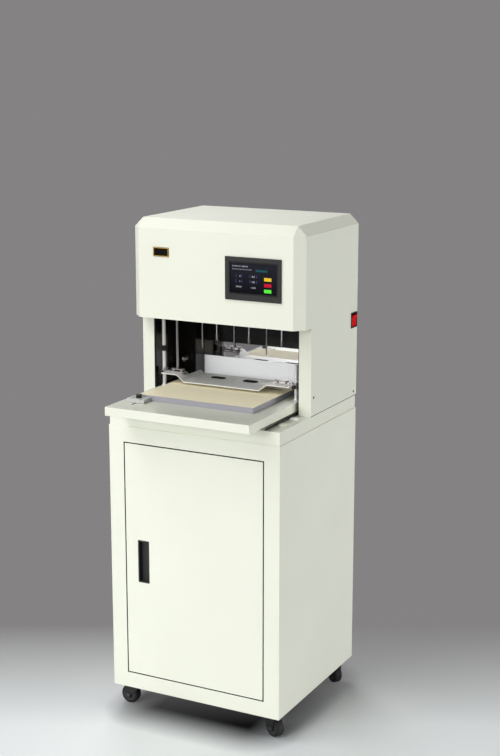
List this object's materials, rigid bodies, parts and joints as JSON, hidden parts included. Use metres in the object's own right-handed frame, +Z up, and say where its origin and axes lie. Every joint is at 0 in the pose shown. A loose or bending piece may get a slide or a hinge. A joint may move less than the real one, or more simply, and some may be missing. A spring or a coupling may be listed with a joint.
{
  "type": "thread binding machine",
  "caption": "Floor-standing thread binding machine: steel cabinet on casters, work table, press plate, drills and needles under a head with a touch screen.",
  "frame": {"origin": "floor level under the middle of the machine's bounding box", "axes": "+Z up, +Y from the operator towards the back of the machine, +X to the operator's right"},
  "size_m": [0.455, 0.497, 1.192],
  "materials": {
    "cream_paint": "fine-textured satin powder coat, creamy white",
    "pale_paint": "smooth satin paint, pale cool grey",
    "black_paint": "black satin paint",
    "black_gloss": "glossy black panel",
    "black_plastic": "moulded black plastic",
    "grey_plastic": "moulded dark grey plastic",
    "red_plastic": "glossy red plastic",
    "wheel_rubber": "black tread on a grey hub disc",
    "chrome": "polished",
    "steel": "ground steel",
    "aluminium": "machined aluminium",
    "mirror_strip": "mirror-polished strip",
    "press_steel": "polished stainless sheet",
    "screen_glass": "dark glossy screen",
    "plate_black": "black plate with a thin gold border",
    "bed_grey": "grey cutting mat",
    "thread": "wound white thread"
  },
  "bodies": {
    "frame": {"cabinet_bottom_panel": "cream_paint", "cabinet_left_panel": "cream_paint", "cabinet_right_panel": "cream_paint", "cabinet_back_panel": "cream_paint", "cabinet_front_frame": "cream_paint", "cabinet_top_tray": "cream_paint", "thread_shelf": "cream_paint", "door_upper_pin": "steel", "door_lower_pin": "steel", "caster_mount_front_left": "black_plastic", "caster_mount_front_right": "black_plastic", "caster_mount_rear_left": "black_plastic", "caster_mount_rear_right": "black_plastic", "left_column_panel": "cream_paint", "right_column_panel": "cream_paint", "head_hood": "cream_paint", "rear_cover": "cream_paint", "head_base_plate": "black_paint", "bay_liner": "black_gloss", "rear_mirror": "mirror_strip", "rear_fence": "pale_paint", "screen_bezel": "grey_plastic", "screen_pane": "screen_glass", "nameplate": "plate_black", "switch_bezel": "black_plastic", "power_inlet": "black_plastic", "work_table": "cream_paint", "paper_bed": "bed_grey", "guide_post_left": "chrome", "guide_post_right": "chrome", "stop_rod": "chrome", "front_rail": "steel", "rear_rail": "steel"},
    "door": {"cabinet_door": "cream_paint", "door_handle": "grey_plastic"},
    "fork_front_left": {"caster_fork_front_left": "black_plastic"},
    "fork_front_right": {"caster_fork_front_right": "black_plastic"},
    "fork_rear_left": {"caster_fork_rear_left": "black_plastic"},
    "fork_rear_right": {"caster_fork_rear_right": "black_plastic"},
    "wheel_front_left": {"caster_wheel_front_left": "wheel_rubber"},
    "wheel_front_right": {"caster_wheel_front_right": "wheel_rubber"},
    "wheel_rear_left": {"caster_wheel_rear_left": "wheel_rubber"},
    "wheel_rear_right": {"caster_wheel_rear_right": "wheel_rubber"},
    "rocker": {"power_rocker": "red_plastic"},
    "press": {"press_plate": "press_steel", "press_bracket_left": "chrome", "press_bracket_right": "chrome"},
    "gauge": {"side_gauge": "aluminium"},
    "knob": {"gauge_knob": "black_plastic"},
    "spool": {"thread_spool": "thread"},
    "carriage": {"shuttle": "aluminium"},
    "drill_lift": {"drill_crosshead": "steel"},
    "bit_1": {"drill_bit_1": "steel"},
    "bit_2": {"drill_bit_2": "steel"},
    "bit_3": {"drill_bit_3": "steel"},
    "needle_lift": {"needle_bar": "steel"},
    "drill_screw": {"drill_lead_screw": "steel"},
    "needle_screw": {"needle_lead_screw": "steel"},
    "hooks": {"hook_bar": "steel"}
  },
  "joints": [
    {"name": "door_hinge", "type": "hinge", "parent": "frame", "child": "door", "pos_m": [0.17505, -0.1685, 0.3865], "axis": [0, 0, 1], "range_deg": [0, 110]},
    {"name": "swivel_front_left", "type": "hinge", "parent": "frame", "child": "fork_front_left", "pos_m": [-0.19045, -0.1355, 0.05], "axis": [0, 0, 1], "continuous": true},
    {"name": "swivel_front_right", "type": "hinge", "parent": "frame", "child": "fork_front_right", "pos_m": [0.18555, -0.1355, 0.05], "axis": [0, 0, 1], "continuous": true},
    {"name": "swivel_rear_left", "type": "hinge", "parent": "frame", "child": "fork_rear_left", "pos_m": [-0.19045, 0.2105, 0.05], "axis": [0, 0, 1], "continuous": true},
    {"name": "swivel_rear_right", "type": "hinge", "parent": "frame", "child": "fork_rear_right", "pos_m": [0.18555, 0.2105, 0.05], "axis": [0, 0, 1], "continuous": true},
    {"name": "wheel_spin_front_left", "type": "hinge", "parent": "fork_front_left", "child": "wheel_front_left", "pos_m": [-0.20245, -0.1355, 0.023], "axis": [0, 1, 0], "continuous": true},
    {"name": "wheel_spin_front_right", "type": "hinge", "parent": "fork_front_right", "child": "wheel_front_right", "pos_m": [0.19663, -0.14012, 0.023], "axis": [0.3846, 0.9231, 0], "continuous": true},
    {"name": "wheel_spin_rear_left", "type": "hinge", "parent": "fork_rear_left", "child": "wheel_rear_left", "pos_m": [-0.20005, 0.2177, 0.023], "axis": [0.6, 0.8, 0], "continuous": true},
    {"name": "wheel_spin_rear_right", "type": "hinge", "parent": "fork_rear_right", "child": "wheel_rear_right", "pos_m": [0.19515, 0.2033, 0.023], "axis": [0.6, 0.8, 0], "continuous": true},
    {"name": "rocker_tilt", "type": "hinge", "parent": "frame", "child": "rocker", "pos_m": [0.21655, 0.2275, 0.9375], "axis": [0, -1, 0], "range_deg": [0, 16]},
    {"name": "press_lift", "type": "slide", "parent": "frame", "child": "press", "axis": [0, 0, 1], "range_m": [0, 0.05]},
    {"name": "gauge_slide", "type": "slide", "parent": "frame", "child": "gauge", "axis": [0, 1, 0], "range_m": [-0.03, 0]},
    {"name": "knob_turn", "type": "hinge", "parent": "gauge", "child": "knob", "pos_m": [-0.14645, -0.168, 0.792], "axis": [0, 0, 1], "continuous": true},
    {"name": "spool_spin", "type": "hinge", "parent": "frame", "child": "spool", "pos_m": [-0.06245, 0.0975, 0.466], "axis": [0, 0, 1], "continuous": true},
    {"name": "carriage_shift", "type": "slide", "parent": "frame", "child": "carriage", "axis": [1, 0, 0], "range_m": [0, 0.04]},
    {"name": "drill_feed", "type": "slide", "parent": "carriage", "child": "drill_lift", "axis": [0, 0, 1], "range_m": [-0.104, 0]},
    {"name": "bit_spin_1", "type": "hinge", "parent": "drill_lift", "child": "bit_1", "pos_m": [-0.05445, 0.0425, 0.996], "axis": [0, 0, 1], "continuous": true},
    {"name": "bit_spin_2", "type": "hinge", "parent": "drill_lift", "child": "bit_2", "pos_m": [0.03255, 0.0425, 0.996], "axis": [0, 0, 1], "continuous": true},
    {"name": "bit_spin_3", "type": "hinge", "parent": "drill_lift", "child": "bit_3", "pos_m": [0.11955, 0.0425, 0.996], "axis": [0, 0, 1], "continuous": true},
    {"name": "drill_screw_turn", "type": "hinge", "parent": "carriage", "child": "drill_screw", "pos_m": [0.03255, -0.0245, 1.066], "axis": [0, 0, 1], "continuous": true},
    {"name": "needle_feed", "type": "slide", "parent": "carriage", "child": "needle_lift", "axis": [0, 0, -1], "range_m": [0, 0.136]},
    {"name": "needle_screw_turn", "type": "hinge", "parent": "carriage", "child": "needle_screw", "pos_m": [0.03255, 0.1095, 1.066], "axis": [0, 0, 1], "continuous": true},
    {"name": "hook_slide", "type": "slide", "parent": "frame", "child": "hooks", "axis": [1, 0, 0], "range_m": [0, 0.012]}
  ],
  "couplings": [
    {"joint": "bit_spin_2", "follows": "bit_spin_1", "ratio": 1},
    {"joint": "bit_spin_3", "follows": "bit_spin_1", "ratio": 1},
    {"joint": "drill_screw_turn", "follows": "drill_feed", "rad_per_m": 1256.6},
    {"joint": "needle_screw_turn", "follows": "needle_feed", "rad_per_m": -1256.6}
  ]
}
